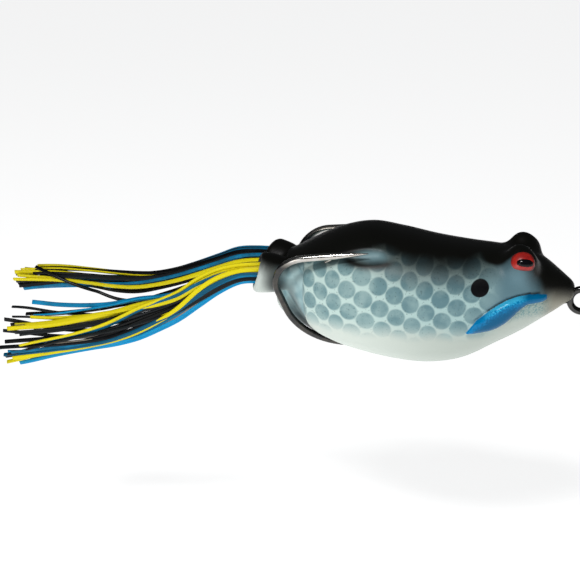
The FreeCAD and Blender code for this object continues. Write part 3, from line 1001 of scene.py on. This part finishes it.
# Each strand: colour, tint (0 bright, 1 dark), heights in the bundle at its start, neck, middle,
# far part and end (-1 low, 1 high), depth towards the lure's outside likewise, x where it is cut
RIGHT_STRANDS = (
    ("yellow", 0.1, 0.85, 0.95, 0.85, 0.10, -0.38, 1.0, -113.8),
    ("blue", 0.8, 0.10, 0.45, 0.70, -0.04, -0.48, 0.8, -114.5),
    ("yellow", 0.0, 0.60, 0.60, 0.75, 0.50, 0.20, 0.6, -117.0),
    ("yellow", 0.3, 0.45, 0.35, 0.55, 0.62, 0.33, 0.7, -113.0),
    ("yellow", 0.0, 0.35, 0.28, -0.45, -0.80, -0.76, 1.0, -116.0),
    ("yellow", 0.4, 0.25, 0.15, -0.25, -0.66, -0.88, 0.8, -117.5),
    ("yellow", 0.6, 0.30, 0.00, 0.60, 0.39, 0.33, 0.4, -115.5),
    ("yellow", 0.2, 0.50, 0.45, 0.78, 0.50, 0.62, 0.3, -112.0),
    ("blue", 0.0, -0.90, -0.98, -1.00, -1.00, -1.00, 0.7, -115.0),
    ("blue", 0.1, -0.80, -0.86, -0.88, -0.87, -0.50, 0.8, -117.0),
    ("blue", 0.3, -0.85, -0.92, -0.94, -0.93, -0.90, 0.2, -113.0),
    ("blue", 0.4, 0.30, 0.30, 0.95, 0.95, 1.00, 0.0, -112.0),
    ("blue", 0.1, 0.10, 0.10, 0.90, 0.85, 0.66, 0.2, -111.5),
    ("blue", 0.7, -0.30, -0.36, -0.62, -0.72, -0.62, 0.9, -116.0),
    ("blue", 1.0, -0.12, -0.16, -0.38, -0.75, -0.70, 0.95, -118.0),
    ("black", 0.0, -0.10, -0.15, -0.05, -0.45, -0.80, 0.7, -118.0),
    ("black", 0.5, 0.10, 0.20, 0.35, 0.46, 0.85, -0.1, -116.6),
    ("black", 0.2, 0.00, 0.10, -0.10, -0.20, 0.42, 0.1, -118.2),
    ("black", 1.0, 0.20, 0.30, 0.20, 0.10, 0.10, 0.4, -115.6),
    ("black", 0.0, -0.30, -0.25, 0.05, -0.25, -0.20, 0.5, -118.0),
    ("black", 0.4, -0.48, -0.52, -0.30, -0.55, -0.40, 0.9, -119.5),
    ("black", 0.8, -0.65, -0.70, -0.22, -0.30, -0.60, 0.85, -117.0),
    ("black", 0.1, 0.40, 0.50, 0.10, 0.00, 0.15, -0.3, -117.5),
    ("black", 0.6, -0.65, -0.70, -0.50, -0.50, 0.00, -0.1, -119.0),
    ("black", 0.0, 0.70, 0.75, 0.85, 0.75, 0.50, -0.4, -114.0),
    ("black", 0.3, -0.55, -0.75, 0.30, 0.30, 0.55, 0.0, -116.5),
    ("black", 0.9, -0.20, -0.10, 0.45, 0.15, -0.10, 0.5, -114.5),
    ("smoke", 0.0, -0.50, -0.70, -0.72, -0.60, -0.50, 0.7, -109.0),
    ("smoke", 0.3, -0.30, -0.50, -0.58, -0.48, -0.30, 0.6, -111.0),
    ("smoke", 1.0, 0.50, 0.50, 0.90, 0.65, 0.50, -0.5, -110.0),
    ("smoke", 0.8, 0.10, 0.10, 0.00, 0.20, 0.10, 0.1, -112.0),
)
LEFT_STRANDS = (
    ("blue", 0.6, 0.90, 0.98, 0.85, 0.55, 0.30, -0.3, -117.0),
    ("blue", 0.9, 0.75, 0.82, 0.62, 0.30, 0.00, -0.5, -118.0),
    ("blue", 0.6, 0.30, 0.25, 0.23, 0.00, -1.00, -0.95, -121.0),
    ("blue", 0.0, 0.10, 0.05, 0.08, -0.30, -0.90, -0.6, -119.0),
    ("blue", 0.9, -0.95, -0.60, -0.60, -0.20, 0.40, 0.6, -116.0),
    ("black", 0.0, 0.60, 0.70, 0.78, 0.95, 0.92, -0.6, -118.0),
    ("black", 0.4, 0.80, 0.90, 0.92, 0.85, 0.60, -0.2, -116.0),
    ("black", 0.2, 0.40, 0.48, 0.52, 0.60, 0.40, -0.8, -118.5),
    ("black", 0.8, 0.30, 0.35, 0.38, 0.42, 0.10, -0.9, -120.0),
    ("black", 0.0, 0.00, -0.20, -0.12, -0.05, -0.60, -0.7, -121.9),
    ("black", 0.5, -0.30, -0.45, -0.25, -0.20, -0.20, -0.8, -122.5),
    ("black", 0.1, -0.60, -0.80, -0.88, -0.88, 0.20, -0.7, -117.0),
    ("black", 0.7, -0.80, -0.95, -0.95, -0.72, -0.10, -0.2, -119.0),
    ("black", 0.3, -0.20, -0.10, 0.00, 0.30, 0.30, -0.4, -123.0),
    ("black", 0.6, -0.40, -0.50, -0.60, -0.60, -0.40, -0.3, -122.5),
    ("black", 0.0, -0.70, -0.90, -1.60, -1.75, 1.05, -1.0, -117.8),
    ("yellow", 0.1, -0.30, -0.30, -0.38, -0.32, 0.10, -1.0, -123.0),
    ("yellow", 0.4, -0.50, -0.60, -0.50, -0.44, 0.45, -0.8, -122.0),
    ("yellow", 0.3, 0.50, 0.50, 0.60, 0.92, 1.05, -0.3, -117.8),
    ("yellow", 0.0, 0.20, 0.20, 0.30, 0.75, 0.85, -0.5, -121.5),
    ("yellow", 0.2, 0.00, 0.00, 0.10, 0.42, 0.55, -0.6, -123.0),
    ("yellow", 0.5, -0.60, -0.70, -0.70, -0.60, 0.70, 0.3, -121.5),
    ("smoke", 0.5, -0.90, -0.90, -0.95, -0.95, -0.50, -0.2, -112.0),
    ("smoke", 1.0, 0.20, 0.10, 0.50, 0.10, 0.00, 0.3, -115.0),
    ("smoke", 0.7, -0.20, -0.30, -0.10, -0.50, -0.70, 0.5, -116.0),
)
STRAND_WIDTH, STRAND_THICKNESS = 0.85, 0.42
STRAND_START_X = -62.75


def strand_path(side, flow, heights, depth, cut_x):
    """One strand's way through its skirt, from inside the tube to its cut end."""
    x = np.linspace(STRAND_START_X, cut_x, STRAND_STEPS)
    lift = curve_table(x, list(zip((cut_x,) + STRAND_KNOTS + (STRAND_START_X,), heights[::-1])))[0]
    reach = (STRAND_START_X - x) / (STRAND_START_X - cut_x)
    phase, waves = rng.uniform(0, 2 * math.pi), rng.uniform(0.7, 1.6)
    lift = lift + 0.06 * reach * np.sin(phase + waves * 2 * math.pi * reach)
    across = depth * (0.8 + 0.2 * reach) + 0.12 * reach * np.cos(phase + 5.0 * reach)
    y, z, half_height, half_width = curve_table(x, flow)
    room = np.sqrt(np.clip(1 - 0.6 * lift ** 2, 0.2, 1))
    return np.stack([x, side * (y + across * half_width * room), z + lift * half_height], 1)


def strand_sections(count, width, twist):
    """A flat strand's rounded outline, slowly twisting."""
    turn = round_angles(FLAT_SIDES)
    c, s = np.cos(turn), np.sin(turn)
    flat = np.stack([np.sign(c) * np.abs(c) ** 0.7 * width / 2,
                     np.sign(s) * np.abs(s) ** 0.7 * STRAND_THICKNESS / 2], 1)
    angles = np.linspace(twist[0], twist[1], count)
    cosine, sine = np.cos(angles)[:, None], np.sin(angles)[:, None]
    a, b = flat[None, :, 0], flat[None, :, 1]
    return np.stack([a * cosine - b * sine, a * sine + b * cosine], 2)


def strand_material(name, colour, shade):
    paint = Paint("silicone_" + name)
    paint.shader.inputs["Specular IOR Level"].default_value = 0.13
    rest = paint.rest()
    cloud = paint.noise(rest, 0.25, 3.0)
    grain = paint.noise(rest, 6.0, 2.0)
    tint = paint.add(paint.field("tint"), paint.less(cloud, 0.5))
    paint.bump(grain, 0.00002, 0.4)
    mixed = paint.mix(paint.ramp(tint, 0.0, 1.0), colour, shade)
    return paint.finish(mixed, paint.ramp(grain, 0.3, 0.7, 0.24, 0.36))


def make_skirts():
    paints = {
        "yellow": strand_material("yellow", (0.80, 0.68, 0.006), (0.56, 0.50, 0.015)),
        "blue": strand_material("blue", (0.004, 0.30, 0.60), (0.003, 0.09, 0.17)),
        "black": strand_material("black", (0.003, 0.0035, 0.004), (0.016, 0.019, 0.022)),
        "smoke": strand_material("smoke", (0.26, 0.23, 0.18), (0.10, 0.115, 0.125)),
    }
    for name, strands in (("left", LEFT_STRANDS), ("right", RIGHT_STRANDS)):
        groups = {}
        for colour, tint, *heights, depth, cut_x in strands:
            path = strand_path(SIDES[name], SKIRT_FLOW[name], heights, depth, cut_x)
            twist_start = rng.uniform(-0.6, 0.6)
            twist = (twist_start, twist_start + rng.uniform(-1.2, 1.2))
            width = STRAND_WIDTH * rng.uniform(0.85, 1.15)
            points, faces = sweep(path, strand_sections(len(path), width, twist), up=(0, 0, 1))
            groups.setdefault(colour, []).append((points, faces, np.full(len(points), tint)))
        for colour, bars in groups.items():
            shape = merged([bar[:2] for bar in bars])
            tints = np.concatenate([bar[2] for bar in bars])
            piece = make_mesh("skirt_" + colour + "_" + name, paints[colour], *shape, {"tint": tints})
            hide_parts("strands_" + colour + "_" + name)
            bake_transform(piece)


# ---- ties and CAD pieces
def inner_material(name, colours, roughness, metallic, scale):
    paint = Paint(name, metallic)
    place = paint.node("TexCoord").outputs["Object"]
    grain = paint.noise(place, scale, 4.0)
    colour = paint.mix(paint.ramp(grain, 0.35, 0.65), *colours)
    paint.bump(grain, 0.00004, 0.6)
    return paint.finish(colour, paint.ramp(grain, 0.3, 0.7, roughness - 0.08, roughness + 0.1))


def rubber_material():
    return inner_material("collar_rubber", ((0.012, 0.012, 0.013), (0.025, 0.025, 0.026)), 0.6, 0.0, 700)


def make_ties(rubber):
    """The tie ring round each skirt, thinner than the CAD's so that it clears the moving tube."""
    for name in SIDES:
        axis = mirrored(TUBE_ROOT - TUBE_MOUTH, SIDES[name])
        shape = round_ring(mirrored(TIE_PLACE, SIDES[name]), axis, *TIE_R)
        tie = make_mesh("tie_" + name, rubber, *shape)
        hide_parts("skirt_tie_" + name)
        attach(tie, name + "_tie")


def dress_cad_nodes(rubber):
    """Materials for the CAD pieces that show as they are."""
    braze = inner_material("silver_braze", ((0.55, 0.48, 0.33), (0.42, 0.36, 0.26)), 0.35, 1.0, 900)
    lead = inner_material("cast_lead", ((0.20, 0.21, 0.22), (0.12, 0.125, 0.13)), 0.5, 1.0, 500)
    looks = {"shank_braze": braze, "belly_weight": lead}
    for name in SIDES:
        looks["skirt_band_" + name] = rubber
    for node, material in looks.items():
        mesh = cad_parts[node].data
        mesh.materials.clear()
        mesh.materials.append(material)


# ---- studio
CAMERA_PLACE = np.array([-2.574, -242.267, 74.118]) * MM
CAMERA_AIM = np.array([-58.506, 0.0, -1.899]) * MM
CAMERA_LENS = 78.43
CAMERA_SENSOR = 36.0
FLOOR_Z, FLOOR_REACH, FLOOR_GLOW = -0.07, 8.0, 0.85
SKY, SKY_STRENGTH = (0.8, 0.85, 0.9, 1), 0.06
LIGHT_AIM = (-0.06, 0, 0)


def aim(piece, place, target):
    piece.location = tuple(place)
    direction = np.asarray(target, float) - np.asarray(place, float)
    piece.rotation_euler = Vector(direction).to_track_quat("-Z", "Y").to_euler()


def make_camera():
    data = bpy.data.cameras.new("camera")
    data.lens = CAMERA_LENS
    data.sensor_width = CAMERA_SENSOR
    data.clip_start = 0.01
    data.clip_end = 50.0
    camera = placed("camera", data)
    aim(camera, CAMERA_PLACE, CAMERA_AIM)
    bpy.context.scene.camera = camera


def area_light(name, place, size, power):
    data = bpy.data.lights.new(name, "AREA")
    data.shape = "RECTANGLE"
    data.size, data.size_y = size
    data.energy = power
    aim(placed(name, data), place, LIGHT_AIM)


def make_floor():
    mesh = bpy.data.meshes.new("studio_floor")
    corners = ((-1, -1), (1, -1), (1, 1), (-1, 1))
    mesh.from_pydata([(a * FLOOR_REACH, b * FLOOR_REACH, FLOOR_Z) for a, b in corners], [], [[0, 1, 2, 3]])
    floor = placed("studio_floor", mesh)
    paint = Paint("floor_paper")
    paint.shader.inputs["Emission Color"].default_value = (1, 1, 1, 1)
    paint.shader.inputs["Emission Strength"].default_value = FLOOR_GLOW
    floor.data.materials.append(paint.finish((0.8, 0.8, 0.8), 0.9))


def make_studio():
    make_floor()
    world = bpy.data.worlds.new("studio")
    world.use_nodes = True
    background = world.node_tree.nodes["Background"]
    background.inputs[0].default_value = SKY
    background.inputs[1].default_value = SKY_STRENGTH
    bpy.context.scene.world = world
    area_light("key", (-0.10, -0.40, 0.42), (0.14, 0.08), 1.7)
    area_light("fill", (-0.32, -0.55, 0.03), (0.25, 0.25), 0.45)
    bpy.context.scene.view_settings.view_transform = "Standard"


make_camera()
make_studio()
make_body()
make_hooks()
make_eyes()
make_skirts()
collar_rubber = rubber_material()
make_ties(collar_rubber)
dress_cad_nodes(collar_rubber)
